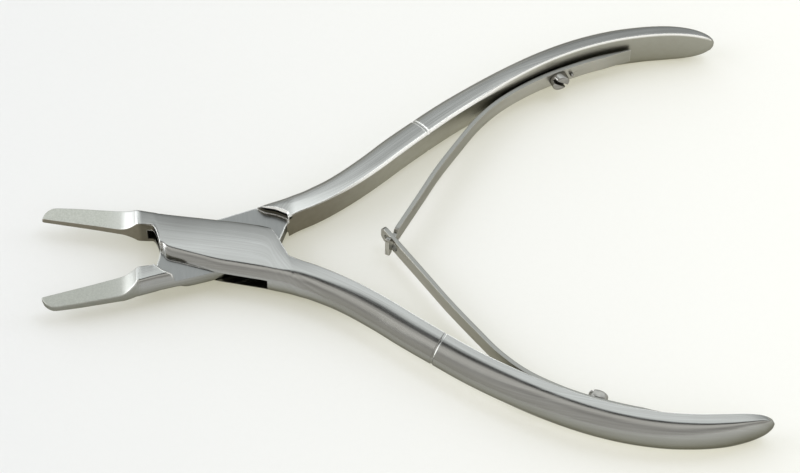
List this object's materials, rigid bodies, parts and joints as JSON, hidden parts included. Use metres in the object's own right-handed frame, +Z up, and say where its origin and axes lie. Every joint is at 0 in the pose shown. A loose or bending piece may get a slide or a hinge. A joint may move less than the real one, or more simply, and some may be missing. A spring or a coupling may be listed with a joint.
{
  "type": "box-joint nippers",
  "caption": "All-steel box-joint hand nippers with blunt flat-faced jaws, held open by interlinked leaf springs.",
  "frame": {"origin": "on the pivot axis, at the flat underside of the box joint", "axes": "+X from the pivot towards the handle ends, along the line midway between the handles; +Z up along the pivot axis; +Y towards the handle of the tongue lever"},
  "size_m": [0.1387, 0.0978, 0.0092],
  "materials": {
    "satin_steel": "satin, fine polished",
    "spring_steel": "satin",
    "fastener_steel": "bright turned"
  },
  "bodies": {
    "box_lever": {"box_lever": "satin_steel", "pivot_pin": "satin_steel", "lower_spring_screw": "fastener_steel", "lower_spring_locating_pin": "fastener_steel"},
    "tongue_lever": {"tongue_lever": "satin_steel", "upper_spring_screw": "fastener_steel", "upper_spring_locating_pin": "fastener_steel"},
    "lower_leaf": {"lower_spring": "spring_steel"},
    "upper_leaf": {"upper_spring": "spring_steel"}
  },
  "joints": [
    {"name": "main_pivot", "type": "hinge", "parent": "box_lever", "child": "tongue_lever", "pos_m": [0, 0, 0.0037], "axis": [0, 0, -1], "range_deg": [0, 30], "stiffness_Nm_per_rad": 0.8, "springref_deg": -8.59},
    {"name": "lower_leaf_flex", "type": "hinge", "parent": "box_lever", "child": "lower_leaf", "pos_m": [0.062, -0.0345, 0.0037], "axis": [0, 0, 1], "range_deg": [0, 13.09], "deforming": ["lower_spring"]},
    {"name": "upper_leaf_flex", "type": "hinge", "parent": "tongue_lever", "child": "upper_leaf", "pos_m": [0.062, 0.0345, 0.0037], "axis": [0, 0, -1], "range_deg": [0, 14.36], "deforming": ["upper_spring"]}
  ],
  "couplings": [
    {"joint": "lower_leaf_flex", "follows": "main_pivot", "ratio": 0.4363},
    {"joint": "upper_leaf_flex", "follows": "main_pivot", "ratio": 0.4786}
  ]
}
